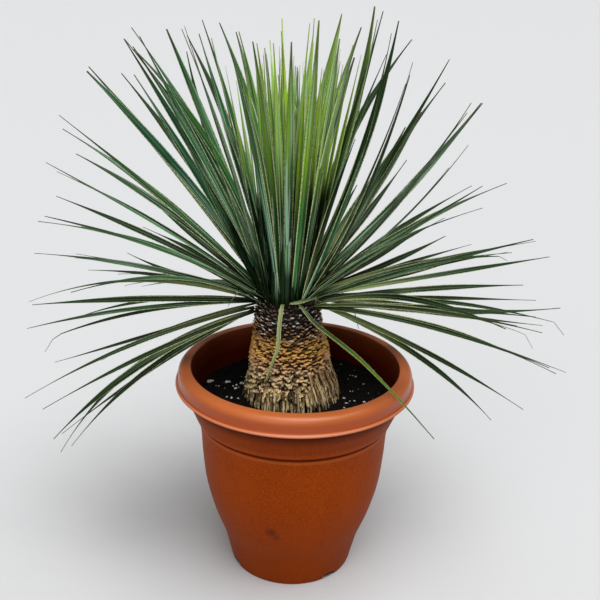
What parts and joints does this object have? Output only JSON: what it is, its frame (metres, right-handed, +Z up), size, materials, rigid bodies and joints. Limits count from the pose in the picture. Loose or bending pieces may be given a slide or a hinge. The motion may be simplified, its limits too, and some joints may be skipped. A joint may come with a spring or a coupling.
{
  "type": "potted beaked yucca",
  "caption": "Young beaked yucca with a round head of long narrow blue-green leaves on a short scaly trunk, standing in a bell-shaped terracotta-coloured plastic pot of soil.",
  "frame": {"origin": "centre of the pot's underside, on the surface that it stands on", "axes": "+Z up along the pot's axis, -Y towards the front, where the short leaf crosses the rim, +X to the right as seen from the front"},
  "size_m": [0.7037, 0.5746, 0.7081],
  "materials": {
    "pot_plastic": "satin moulded plastic, terracotta colour",
    "potting_soil": "dark crumbly potting mix with white perlite",
    "trunk_scales": "dry fibrous old leaf bases",
    "leaf_blade": "smooth waxy blue-green blade with a pale yellow edge"
  },
  "bodies": {
    "root": {"pot": "pot_plastic", "soil": "potting_soil", "trunk": "trunk_scales", "leaf_01": "leaf_blade", "leaf_02": "leaf_blade", "leaf_03": "leaf_blade", "leaf_04": "leaf_blade", "leaf_05": "leaf_blade", "leaf_06": "leaf_blade", "leaf_07": "leaf_blade", "leaf_08": "leaf_blade", "leaf_09": "leaf_blade", "leaf_10": "leaf_blade", "leaf_11": "leaf_blade", "leaf_12": "leaf_blade", "leaf_13": "leaf_blade", "leaf_14": "leaf_blade", "leaf_15": "leaf_blade", "leaf_16": "leaf_blade", "leaf_17": "leaf_blade", "leaf_18": "leaf_blade", "leaf_19": "leaf_blade", "leaf_20": "leaf_blade", "leaf_21": "leaf_blade", "leaf_22": "leaf_blade", "leaf_23": "leaf_blade", "leaf_24": "leaf_blade", "leaf_25": "leaf_blade", "leaf_26": "leaf_blade", "leaf_27": "leaf_blade", "leaf_28": "leaf_blade", "leaf_29": "leaf_blade", "leaf_30": "leaf_blade", "leaf_31": "leaf_blade", "leaf_32": "leaf_blade", "leaf_33": "leaf_blade", "leaf_34": "leaf_blade", "leaf_35": "leaf_blade", "leaf_36": "leaf_blade", "leaf_37": "leaf_blade", "leaf_38": "leaf_blade", "leaf_39": "leaf_blade", "leaf_40": "leaf_blade", "leaf_41": "leaf_blade", "leaf_42": "leaf_blade", "leaf_43": "leaf_blade", "leaf_44": "leaf_blade", "leaf_45": "leaf_blade", "leaf_46": "leaf_blade", "leaf_47": "leaf_blade", "leaf_48": "leaf_blade", "leaf_49": "leaf_blade", "leaf_50": "leaf_blade", "leaf_51": "leaf_blade", "leaf_52": "leaf_blade", "leaf_53": "leaf_blade", "leaf_54": "leaf_blade", "leaf_55": "leaf_blade", "leaf_over_rim": "leaf_blade", "leaf_hanging": "leaf_blade"}
  },
  "joints": []
}
